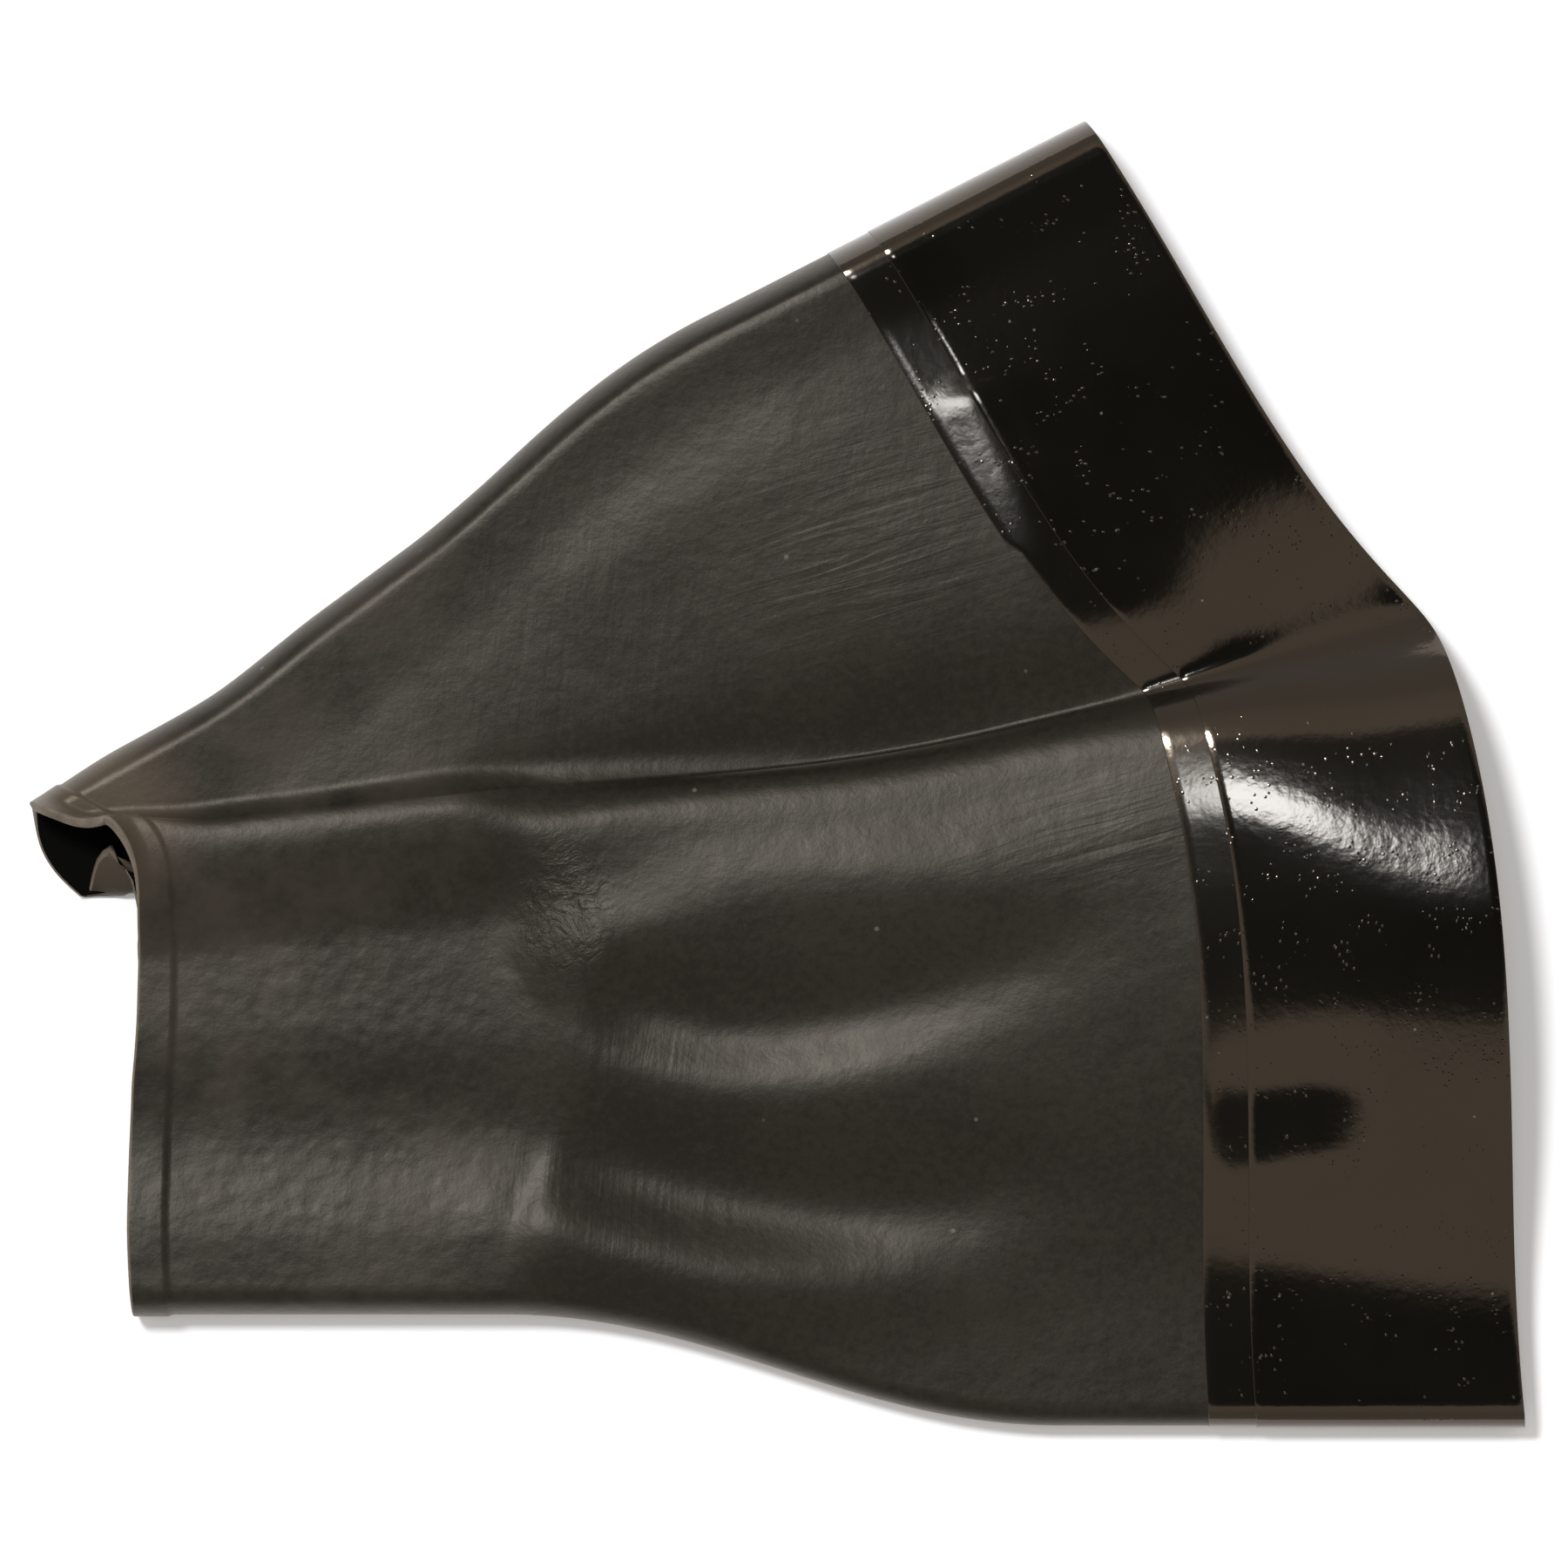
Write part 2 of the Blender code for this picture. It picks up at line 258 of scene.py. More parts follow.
TOP_LINE = trace((-NECK_UPPER_WIDTH, MOUTH_SLANT), TOP_HEADINGS, LENGTH - TOP_PULL)
PLEAT_LINE = trace((0.0, 0.0), PLEAT_HEADINGS, LENGTH - PLEAT_PULL)
BOTTOM_LINE = trace((BOTTOM_SETBACK, -NECK_LOWER_WIDTH), BOTTOM_HEADINGS, LENGTH)
# The two ends of the top fold are the outline's first point along X and its last along Y.
FOOTPRINT_CENTRE = np.array((TOP_LINE[0, 0] - CAD_LOW.x, TOP_LINE[-1, 1] - CAD_HIGH.y))


def on_line(line, shares):
    """The points at these shares of a traced line, carried on straight past either end."""
    place = shares * TRACE_STEPS
    low = np.clip(np.floor(place).astype(int), 0, TRACE_STEPS - 1)
    part = (place - low)[..., None]
    return line[low] * (1.0 - part) + line[low + 1] * part


# ------------------------------------------------- heights
def skirt_share(along):
    """0 on the neck, 1 on the skirt."""
    return smooth((along - NECK_LENGTH) / FLARE_LENGTH)


def softened(marks, spread):
    """A curve through marks of (place, value), eased by a moving average of this spread."""
    marks = np.array(marks)
    reach = 2 * CURVE_FINENESS
    step = spread / CURVE_FINENESS
    places = np.arange(marks[0, 0] - 2 * spread, marks[-1, 0] + 2 * spread, step)
    values = np.interp(places, marks[:, 0], marks[:, 1])
    weights = np.exp(-0.5 * (np.arange(-reach, reach + 1) / CURVE_FINENESS) ** 2)
    padded = np.pad(values, reach, mode="edge")
    return places, np.convolve(padded, weights / weights.sum(), mode="valid")


QUICK_CURVE = softened(QUICK_RISE, 0.0005)
SLOW_CURVE = softened(SLOW_RISE, 0.05)
FALL_CURVE = softened(CREST_FALL, 0.03)
UPPER_CURVE = softened(UPPER_RISE, 0.035)
UPPER_REACH_CURVE = softened(UPPER_REACH, ALONG_SPREAD)
TOP_NUDGE_CURVE = softened(TOP_NUDGE, 0.003)
RIM_SHIFT_CURVE = softened(RIM_SHIFT, 0.0008)
CREST_AT_CURVE = softened(CREST_AT, ALONG_SPREAD)
FALL_AT_CURVE = softened(FALL_AT, 0.006)
VALLEY_ALONG_CURVE = softened(VALLEY_ALONG, ALONG_SPREAD)
UPPER_ALONG_CURVE = softened(UPPER_ALONG, ALONG_SPREAD)
LOWER_ALONG_CURVE = softened(LOWER_ALONG, ALONG_SPREAD)


def front_height(along, from_pleat, from_fold, upper):
    """Height of the front wall's outer surface, from its distances to the pleat and the fold."""
    skirt = skirt_share(along)
    shoulder = smooth((along - SHOULDER_START) / SHOULDER_RUN)
    lobed = SHOULDER_SHARE * shoulder + (1.0 - SHOULDER_SHARE) * skirt
    width = from_pleat + from_fold
    valley = VALLEY_LEVEL + np.interp(along, *VALLEY_ALONG_CURVE)
    if upper:
        ridge = mix(NECK_RIDGE, NECK_LEVEL, smooth((from_pleat + RIDGE_AT) / RIDGE_RUN))
        reach = width * np.interp(along, *UPPER_REACH_CURVE)
        rise = np.interp(from_pleat / reach, *UPPER_CURVE)
        lobe_height = mix(valley, UPPER_LEVEL + np.interp(along, *UPPER_ALONG_CURVE), rise)
        radius = UPPER_FOLD_RADIUS
    else:
        below = from_pleat - RIDGE_AT
        beside = np.where(below > 0.0, below / RIDGE_FALL, -below / RIDGE_RUN)
        ridge = mix(NECK_RIDGE, NECK_LEVEL, smooth(beside))
        ridge = ridge - NECK_HOLLOW * bell((from_fold - NECK_HOLLOW_AT) / NECK_HOLLOW_REACH)
        crest_at = np.interp(along, *CREST_AT_CURVE)
        quick = np.interp(from_pleat, *QUICK_CURVE)
        slow = crest_at * np.interp(from_pleat / crest_at, *SLOW_CURVE)
        fall_at = np.interp(along, *FALL_AT_CURVE)
        fall = np.interp((from_pleat - fall_at) / (width - fall_at), *FALL_CURVE)
        crest = SKIRT_CREST + np.interp(along, *LOWER_ALONG_CURVE)
        whole = crest_at * SLOW_CURVE[1][-1]
        lobe_height = mix(valley, crest - whole, quick) + slow - (crest - SHELF_LEVEL) * fall
        radius = LOWER_FOLD_RADIUS
    height = mix(ridge, lobe_height, lobed)
    if upper:
        height = height + EDGE_RISE * (1.0 - smooth(from_fold / EDGE_RUN))
    turn = mix(FOLD_RADIUS, radius, skirt)
    return FOLD_RADIUS + (height - FOLD_RADIUS) * fold_turn(from_fold, turn)


def mouth_lift(along, from_pleat, upper):
    """How far the front wall turns up at the narrow rim."""
    near = (1.0 - np.clip(along / MOUTH_LIFT_LENGTH, 0.0, 1.0)) ** 2
    return MOUTH_LIFT * near * (1.0 if upper else 1.0 - smooth(from_pleat / MOUTH_LIFT_REACH))


def back_kink(along, from_pleat, width, upper):
    """How far the back wall lies out of the front wall's outline, near the narrow mouth."""
    fade = 1.0 - smooth(along / NECK_LENGTH)
    near = 1.0 - from_pleat / width if upper else 1.0 - smooth(from_pleat / BACK_KINK_REACH)
    kink = np.array(BACK_KINK) * (fade * near)[..., None]
    if not upper:
        return kink
    bulge = np.sin(np.pi * near) * (1.0 - smooth(along / BACK_BULGE_LENGTH))
    return kink + np.array(BACK_BULGE) * bulge[..., None]


def dent(along, from_pleat):
    """The move of the back wall's points where its rim is pushed in."""
    marks = np.array(DENT)
    fade = 1.0 - smooth(along / DENT_LENGTH)
    lift_fade = 1.0 - smooth(along / DENT_LIFT_LENGTH)
    x, y, z, left = [np.interp(from_pleat, marks[:, 0], column) for column in marks[:, 1:].T]
    return np.stack([x * fade, mix(left * lift_fade, y, fade), z * lift_fade], axis=-1)


def nudge(along, from_pleat, width, upper, front):
    """The move across that brings the outline and the mouth's rim to where they lie."""
    pleat = MOUTH_NUDGE * (1.0 - smooth(along / MOUTH_NUDGE_LENGTH))
    pleat = pleat * (1.0 if front else BACK_NUDGE_SHARE)
    if upper:
        return mix(pleat, np.interp(along, *TOP_NUDGE_CURVE), from_pleat / width)
    return pleat * (1.0 - smooth(from_pleat / MOUTH_NUDGE_REACH))


def rim_shift(along, from_pleat):
    """How far the front rim lies back into the neck, fading along the sleeve."""
    return np.interp(from_pleat, *RIM_SHIFT_CURVE) * (1.0 - smooth(along / RIM_SHIFT_LENGTH))


# ------------------------------------------------- soft ridges and hollows of the front wall
# Each: its line seen from above, how high it stands, and half its width, in millimetres.
SOFT_FOLDS = (
    (((-32.0, -27.0), (-20.0, -20.0), (-2.0, -13.5), (20.0, -12.0), (40.0, -12.0)), 1.1, 8.0),
    (((-28.0, -33.0), (-8.0, -39.5), (10.0, -38.5), (22.0, -34.5)), 0.45, 6.5),
    (((-33.0, -55.5), (-18.0, -60.5), (-2.0, -64.0), (24.0, -62.0)), 1.9, 8.5),
    (((-24.0, -28.0), (-8.0, -33.0), (13.0, -30.0), (37.0, -22.0)), -1.8, 7.5),
    (((-28.0, -48.0), (-8.0, -54.0), (14.0, -56.0), (35.0, -50.0)), -1.8, 8.5),
    (((-30.0, 20.0), (-18.0, 30.0), (-4.0, 38.0), (8.0, 43.0)), 0.4, 9.0),
    (((24.0, 50.0), (28.0, 42.0), (35.5, 23.0)), 0.42, 5.5),
    (((54.0, -52.0), (66.0, -50.0), (76.0, -49.0)), 0.50, 5.5),
    (((54.0, -40.0), (66.0, -38.5), (76.0, -38.0)), -0.50, 5.5),
)
SOFT_START_SHARE = 0.25     # the share of its line over which one rises
SOFT_END_SHARE = 0.45       # and over which it fades out
SOFT_ENDS_LEFT = 0.2        # what is left of its height at the ends
SOFT_SHARPNESS = 1.5
FADE_FROM_FOLD = 0.007
CORNER_CUTS = 3


def rounded(line):
    """The same line with its corners cut, over and over."""
    line = np.array(line)
    for _ in range(CORNER_CUTS):
        near = 0.75 * line[:-1] + 0.25 * line[1:]
        far = 0.25 * line[:-1] + 0.75 * line[1:]
        line = np.vstack([line[:1], np.stack([near, far], axis=1).reshape(-1, 2), line[-1:]])
    return line


def to_line(points, line):
    """Distance of each point, seen from above, to a line of straight runs, and its share along."""
    line = rounded(line)
    best = np.full(points.shape[:-1], np.inf)
    share = np.zeros(points.shape[:-1])
    runs = list(zip(line, line[1:]))
    for index, (start, end) in enumerate(runs):
        reach = end - start
        part = np.clip(((points - start) @ reach) / (reach @ reach), 0.0, 1.0)
        distance = np.linalg.norm(points - start - part[..., None] * reach, axis=-1)
        nearer = distance < best
        best = np.where(nearer, distance, best)
        share = np.where(nearer, (index + part) / len(runs), share)
    return best, share


def soft_folds(places, from_fold):
    """What the soft folds add to the front wall's height."""
    seen = (places - FOOTPRINT_CENTRE) * 1000.0
    total = np.zeros(places.shape[:-1])
    for line, height, half_width in SOFT_FOLDS:
        distance, share = to_line(seen, line)
        ends = smooth(share / SOFT_START_SHARE) * smooth((1.0 - share) / SOFT_END_SHARE)
        across = np.exp(-SOFT_SHARPNESS * (distance / half_width) ** 2)
        total += height * mix(SOFT_ENDS_LEFT, 1.0, ends) * across
    return total / 1000.0 * smooth(from_fold / FADE_FROM_FOLD)


# ------------------------------------------------- the closed section of the whole stack
def lobe_distances(width, steps):
    """Distances from a fold towards the pleat: round the fold, then closer near the pleat."""
    turns = FOLD_RADIUS * (1 - np.cos(math.pi / 2 * np.arange(QUARTER_STEPS + 1) / QUARTER_STEPS))
    flat = (width - FOLD_RADIUS)[:, None]
    left = (1 - np.arange(1, steps + 1) / steps) ** PLEAT_CROWDING
    turns = np.broadcast_to(turns, (len(width), len(turns)))
    return np.hstack([turns, width[:, None] - flat * left])


def skewed_bow(part):
    """0 at both ends and 1 at two thirds of the way."""
    return 27 / 4 * part * part * (1 - part)


def overhang(along, from_pleat):
    """How far the lower lobe leans over the pleat."""
    lean = OVERHANG * smooth((along - NECK_LENGTH) / VALLEY_OPENING)
    easing = smooth((along - OVERHANG_EASE_START) / OVERHANG_EASE_RUN)
    ending = smooth((along - OVERHANG_END_START) / OVERHANG_END_RUN)
    lean = lean * mix(1.0, OVERHANG_LEFT, easing) * (1.0 - ending)
    return lean * np.sin(np.pi * np.clip(from_pleat / OVERHANG_RUN, 0.0, 1.0))


def lobe(alongs, line, bow, steps, upper, front):
    """One wall of one lobe, a row for each length along, with points from its fold to the pleat."""
    shares = alongs / LENGTH
    edge = on_line(line, shares)
    across = on_line(PLEAT_LINE, shares) - edge
    width = np.linalg.norm(across, axis=1)
    sign = np.copysign(1.0, across[:, 1])
    ahead = np.stack([np.abs(across[:, 1]), -across[:, 0] * sign], axis=1) / width[:, None]
    distance = lobe_distances(width, steps)
    part = distance / width[:, None]
    from_pleat = width[:, None] - distance
    place = edge[:, None] + across[:, None] * part[..., None]
    place = place + ahead[:, None] * (bow[:, None] * skewed_bow(part))[..., None]
    along = np.broadcast_to(alongs[:, None], distance.shape)
    place[..., 1] += nudge(along, from_pleat, width[:, None], upper, front)
    if front:
        height = front_height(along, from_pleat, distance, upper)
        height = height + soft_folds(place, distance) + mouth_lift(along, from_pleat, upper)
        if not upper:
            place[..., 0] += rim_shift(along, from_pleat)
            lean = overhang(along, from_pleat)
            place = place + (across / width[:, None])[:, None] * lean[..., None]
        return np.concatenate([place, height[..., None]], axis=-1)
    height = FOLD_RADIUS * (1.0 - fold_turn(distance, FOLD_RADIUS))
    place = place + back_kink(along, from_pleat, width[:, None], upper)
    points = np.concatenate([place, height[..., None]], axis=-1)
    return points if upper else points + dent(along, from_pleat)


def wall(alongs, front):
    """The front or the back wall, with points from the top fold to the bottom fold."""
    bow = smooth(alongs / NECK_LENGTH)
    coarse = 1 if front else BACK_COARSENESS
    upper_bow = mix(MOUTH_UPPER_BOW if front else 0.0, UPPER_BOW, bow)
    top = lobe(alongs, TOP_LINE, upper_bow, UPPER_STEPS // coarse, True, front)
    low = lobe(alongs, BOTTOM_LINE, mix(MOUTH_BOW, LOWER_BOW, bow), LOWER_STEPS // coarse, False,
               front)
    rows = np.concatenate([top, low[:, -2::-1]], axis=1)
    return eased(rows, top.shape[1] - 1, alongs, coarse)


def eased(rows, pleat, alongs, coarse):
    """Round off the corner at the pleat, near the wide rim and on the neck's front."""
    reach = PLEAT_EASE_COLUMNS // coarse
    columns = np.arange(rows.shape[1])
    weight = bell((columns - pleat) / reach)[None, :, None]
    skirt = PLEAT_EASE * smooth((alongs - PLEAT_EASE_START) / PLEAT_EASE_RUN)
    neck = NECK_EASE * (1.0 - smooth((alongs - NECK_EASE_START) / NECK_EASE_RUN))
    neck = neck if coarse == 1 else 0.0
    weight = weight * np.maximum(skirt, neck)[:, None, None]
    for _ in range(PLEAT_EASE_STEPS):
        middle = (rows[:, :-2] + rows[:, 2:]) / 2
        rows = rows.copy()
        rows[:, 1:-1] += (middle - rows[:, 1:-1]) * weight[:, 1:-1]
    return rows


def ring(alongs):
    """The outermost surface, one closed row for each length along the sleeve."""
    front = wall(alongs, True)
    back = wall(alongs, False)[:, -2:0:-1]
    return np.concatenate([front, back], axis=1)


def normals(alongs, rows):
    """Outward unit normals of the rows."""
    around = np.roll(rows, -1, axis=1) - np.roll(rows, 1, axis=1)
    along = ring(alongs + NORMAL_REACH) - ring(alongs - NORMAL_REACH)
    normal = np.cross(around, along)
    return normal / np.linalg.norm(normal, axis=-1, keepdims=True)


# ------------------------------------------------- from rows to meshes
OUTSIDE, RIM, INSIDE = 0, 1, 2


def row_marks(start, end, coarse=1):
    """Lengths along the sleeve for a piece's rows, closer near the narrow rim."""
    fine_end = max(start, min(RIM_ROWS_END, end))
    fine = max(1, round((fine_end - start) / RIM_ROW_LENGTH / coarse)) if fine_end > start else 0
    marks = list(np.linspace(start, fine_end, fine + 1)[:-1]) if fine else []
    count = max(2, round((end - fine_end) / ROW_LENGTH / coarse))
    return marks + list(np.linspace(fine_end, end, count + 1))


def wall_path(start, end, thickness, rounding):
    """Once round a tube's wall: (length along, depth into the wall, which face)."""
    low, high = start + rounding, end - rounding
    turns = [(rounding * math.sin(a), rounding * (1 - math.cos(a)))
             for a in (math.pi / 6, math.pi / 3, math.pi / 2)]
    path = [(mark, 0.0, OUTSIDE) for mark in row_marks(low, high)]
    path += [(high + reach, depth, RIM) for reach, depth in turns]
    path += [(high + reach, thickness - depth, RIM) for reach, depth in turns[::-1]]
    path += [(mark, thickness, INSIDE) for mark in row_marks(low, high, INSIDE_COARSENESS)[::-1]]
    path += [(low - reach, thickness - depth, RIM) for reach, depth in turns]
    path += [(low - reach, depth, RIM) for reach, depth in turns[::-1]]
    return path


def sleeve_depth(along):
    """How far the sleeve's own surface lies below the outermost one."""
    return mix(LIP_DEPTH, SLEEVE_DEPTH, smooth((along - LIP_WIDTH) / LIP_STEP))


def make_shell(name, node, start, depth, thickness, rounding, materials, drift=0.0):
    """A closed tube wall from start to the wide rim, with a material for each of its faces."""
    path = wall_path(start, LENGTH, thickness, rounding)
    lengths = np.array([step[0] for step in path])
    below = np.array([step[1] for step in path])
    base = ring(lengths)
    rows = base - normals(lengths, base) * (depth(lengths) + below)[:, None, None]
    if drift:
        rows = drifted(rows, lengths, below, start, depth, drift)
    rows = rows - np.append(FOOTPRINT_CENTRE, 0.0)
    rows[..., 2] = np.maximum(rows[..., 2], LOWEST_SHARE * below[:, None])
    count, around = rows.shape[:2]
    ahead = np.roll(np.arange(count), -1)
    beside = np.roll(np.arange(around), -1)
    here = np.arange(count)[:, None] * around
    there = ahead[:, None] * around
    index = np.arange(around)[None, :]
    faces = np.stack([here + index, here + beside, there + beside, there + index], axis=-1)
    mesh = bpy.data.meshes.new(name)
    mesh.from_pydata(rows.reshape(-1, 3).tolist(), [], faces.reshape(-1, 4).tolist())
    for material in materials:
        mesh.materials.append(material)
    kinds = [step[2] for step in path]
    kinds = [RIM if RIM in (kind, kinds[(i + 1) % count]) else kind for i, kind in enumerate(kinds)]
    mesh.polygons.foreach_set("material_index", np.repeat(kinds, around).astype(np.int32))
    mesh.shade_smooth()
    mesh.update()
    piece = bpy.data.objects.new(name, mesh)
    bpy.context.scene.collection.objects.link(piece)
    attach(piece, "root")
    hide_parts(node)


def drifted(rows, lengths, below, start, depth, drift):
    """Draw the near edge out a little more with each step round, up to the jog at the lap."""
    near = np.clip(1.0 - (lengths - start) / (LAP_ROWS * ROW_LENGTH), 0.0, 1.0)
    further = lengths - drift * near
    base = ring(further)
    moved = base - normals(further, base) * (depth(lengths) + below)[:, None, None]
    lap = round(LAP_PLACE * (QUARTER_STEPS + UPPER_STEPS))
    around = rows.shape[1]
    share = ((np.arange(around) - lap) % around) / (around - 1)
    return rows + (moved - rows) * share[None, :, None]


# ------------------------------------------------- node helpers
# Where a colour Mix node has its two colours and its result.
MIX_FIRST, MIX_SECOND, MIX_RESULT = 6, 7, 2


class Nodes:
    """A material's nodes, with short calls for the ones used here."""

    def __init__(self, name):
        self.material = bpy.data.materials.new(name)
        self.material.use_nodes = True
        self.tree = self.material.node_tree
        self.shader = self.tree.nodes["Principled BSDF"]
        self.place = self.add("ShaderNodeTexCoord").outputs["Object"]

    def add(self, kind, **settings):
        node = self.tree.nodes.new(kind)
        for key, value in settings.items():
            setattr(node, key, value)
        return node

    def link(self, source, socket):
        """Feed a socket from another one, or set its own value."""
        if isinstance(source, (int, float, tuple)):
            socket.default_value = source
        else:
            self.tree.links.new(source, socket)

    def surface(self, name, value):
        """Set or feed one of the shader's own sockets."""
        self.link(value, self.shader.inputs[name])

    def math(self, operation, first, second, clamp=False):
        node = self.add("ShaderNodeMath", operation=operation, use_clamp=clamp)
        for socket, value in zip(node.inputs, (first, second)):
            self.link(value, socket)
        return node.outputs[0]

    def turned(self, degrees, scale):
        """The place, turned about the vertical and then stretched."""
        node = self.add("ShaderNodeMapping", vector_type="TEXTURE")
        self.link(self.place, node.inputs["Vector"])
        node.inputs["Rotation"].default_value = (0.0, 0.0, math.radians(degrees))
        node.inputs["Scale"].default_value = scale
        return node.outputs[0]

    def noise(self, scale, detail=2.0, rough=0.5, place=None, distortion=0.0):
        node = self.add("ShaderNodeTexNoise")
        self.link(place or self.place, node.inputs["Vector"])
        node.inputs["Scale"].default_value = scale
        node.inputs["Detail"].default_value = detail
        node.inputs["Roughness"].default_value = rough
        node.inputs["Distortion"].default_value = distortion
        return node.outputs["Fac"]

    def cells(self, scale, feature="F1"):
        node = self.add("ShaderNodeTexVoronoi", feature=feature)
        self.link(self.place, node.inputs["Vector"])
        node.inputs["Scale"].default_value = scale
        return node.outputs["Distance"]

    def fade(self, value, low, high, to_low=0.0, to_high=1.0):
        """Smoothly from to_low at low to to_high at high."""
        node = self.add("ShaderNodeMapRange", interpolation_type="SMOOTHSTEP")
        for socket, number in zip(node.inputs, (value, low, high, to_low, to_high)):
            self.link(number, socket)
        return node.outputs[0]

    def axis(self, name):
        node = self.add("ShaderNodeSeparateXYZ")
        self.link(self.place, node.inputs[0])
        return node.outputs[name]

    def spot(self, centre, radii, degrees=0.0, soft=0.5):
        """1 inside an ellipse seen from above, 0 outside it. All in millimetres."""
        away = self.add("ShaderNodeMapping", vector_type="TEXTURE")
        self.link(self.place, away.inputs["Vector"])
        away.inputs["Location"].default_value = (centre[0] / 1000, centre[1] / 1000, 0.0)
        away.inputs["Rotation"].default_value = (0.0, 0.0, math.radians(degrees))
        away.inputs["Scale"].default_value = (radii[0] / 1000, radii[1] / 1000, 1.0)
        length = self.add("ShaderNodeVectorMath", operation="LENGTH")
        self.link(away.outputs[0], length.inputs[0])
        return self.fade(length.outputs["Value"], 1.0 - soft, 1.0 + soft, 1.0, 0.0)

    def blend(self, share, first, second):
        node = self.add("ShaderNodeMix", data_type="RGBA")
        self.link(share, node.inputs["Factor"])
        self.link(first, node.inputs[MIX_FIRST])
        self.link(second, node.inputs[MIX_SECOND])
        return node.outputs[MIX_RESULT]

    def bump(self, height, distance, before=None):
        node = self.add("ShaderNodeBump")
        node.inputs["Strength"].default_value = 1.0
        node.inputs["Distance"].default_value = distance
        self.link(height, node.inputs["Height"])
        if before is not None:
            self.link(before, node.inputs["Normal"])
        return node.outputs[0]

    def sum(self, *values):
        total = values[0]
        for value in values[1:]:
            total = self.math("ADD", total, value)
        return total

    def times(self, *values):
        total = values[0]
        for value in values[1:]:
            total = self.math("MULTIPLY", total, value)
        return total


# ------------------------------------------------- materials
MATT_DARK = (0.0056, 0.0051, 0.0038, 1)
MATT_PALE = (0.0126, 0.0114, 0.0084, 1)
NECK_BROWN = (0.034, 0.028, 0.021, 1)
# A painted tan highlight for the narrow mouth, where the rubber faces up and catches the light.
MOUTH_PAINTED_HIGHLIGHT = (0.080, 0.060, 0.042, 1)
MATT_DUST = (0.16, 0.15, 0.13, 1)
MATT_TINT = (1.0, 0.90, 0.76, 1.0)
SHEEN_TINT = (1.0, 0.86, 0.68, 1.0)
GLOSS_DARK = (0.0035, 0.0034, 0.0026, 1)
GLOSS_PALE = (0.0055, 0.0052, 0.0040, 1)
GLOSS_DUST = (0.20, 0.19, 0.17, 1)
GLOSS_TINT = (1.0, 0.82, 0.64, 1.0)
CUT_DARK = (0.105, 0.080, 0.055, 1)
CUT_PALE = (0.150, 0.118, 0.086, 1)
INNER_DARK = (0.0012, 0.0011, 0.0009, 1)
INNER_PALE = (0.0024, 0.0022, 0.0018, 1)

# How deep the fine textures are.
LEATHER_DEPTH = 0.00006
GRAIN_DEPTH = 0.000035
WRINKLE_DEPTH = 0.00016
HOOP_DEPTH = 0.00010
CREASE_DEPTH = 0.00030
UNEVEN_DEPTH = 0.00012
PEEL_DEPTH = 0.000012
PIT_DEPTH = 0.00003
WAVE_DEPTH = 0.00002
PLAIN_DEPTH = 0.00003

GLOSS_ROUGHNESS = 0.10
PLY_ROUGHNESS = 0.14


def dots(n, cells, low, high, places):
    """Small round dots, one in some of the cells, where the places noise is high enough."""
    chosen = n.fade(n.noise(places, 0.0), 0.60, 0.64)
    return n.times(n.fade(n.cells(cells), low, high, 1.0, 0.0), chosen)


def matt_colour(n, grain):
    """Mottled near-black, browner on the neck, a painted tan highlight at the narrow mouth, and a
    little dust.
    """
    mottle = n.sum(n.times(0.45, n.noise(38.0, 4.0, 0.6)), n.times(0.55, grain))
    colour = n.blend(n.fade(mottle, 0.40, 0.60), MATT_DARK, MATT_PALE)
    neck = n.fade(n.axis("X"), -0.060, -0.020, 1.0, 0.0)
    patch = n.fade(n.noise(60.0, 4.0, 0.65), 0.38, 0.68)
    colour = n.blend(n.times(neck, patch, 0.75), colour, NECK_BROWN)
    # Painted highlight: a tan spot at the narrow mouth, where the surface faces up to the light.
    colour = n.blend(n.times(n.spot((-88, -4), (12, 10), 0, 0.6), 0.8), colour, MOUTH_PAINTED_HIGHLIGHT)
    return n.blend(n.times(dots(n, 170.0, 0.03, 0.07, 170.0), 0.5), colour, MATT_DUST)


def matt_bump(n):
    """Leather grain, and patches of fine wrinkles that run several ways."""
    leathery = n.sum(0.25, n.times(0.75, n.spot((-58, -40), (26, 26), 0, 0.8)))
    bump = n.bump(n.times(n.fade(n.cells(480.0, "SMOOTH_F1"), 0.0, 0.8), leathery), LEATHER_DEPTH)
    bump = n.bump(n.noise(1500.0, 3.0, 0.6), GRAIN_DEPTH, bump)
    slanting = n.noise(420.0, 3.0, 0.55, n.turned(17.0, (9.0, 1.0, 9.0)), 0.6)
    slanted = n.sum(n.spot((12, 28), (16, 14), 20, 0.7), n.spot((40, -8), (16, 7), 5, 0.7))
    bump = n.bump(n.times(slanting, slanted), WRINKLE_DEPTH, bump)
    hoops = n.noise(520.0, 3.0, 0.55, n.turned(84.0, (12.0, 1.0, 12.0)), 0.4)
    hooped = n.sum(n.spot((-20, -45), (13, 22), 0, 0.7),
                   n.times(0.6, n.spot((-22, 18), (20, 18), 40, 0.7)))
    bump = n.bump(n.times(hoops, hooped), HOOP_DEPTH, bump)
    creased = n.noise(330.0, 4.0, 0.6, None, 1.5)
    bump = n.bump(n.times(creased, n.spot((-27, -17), (5.5, 8.5), 10, 0.6)), CREASE_DEPTH, bump)
    return n.bump(n.noise(210.0, 2.0, 0.5), UNEVEN_DEPTH, bump)


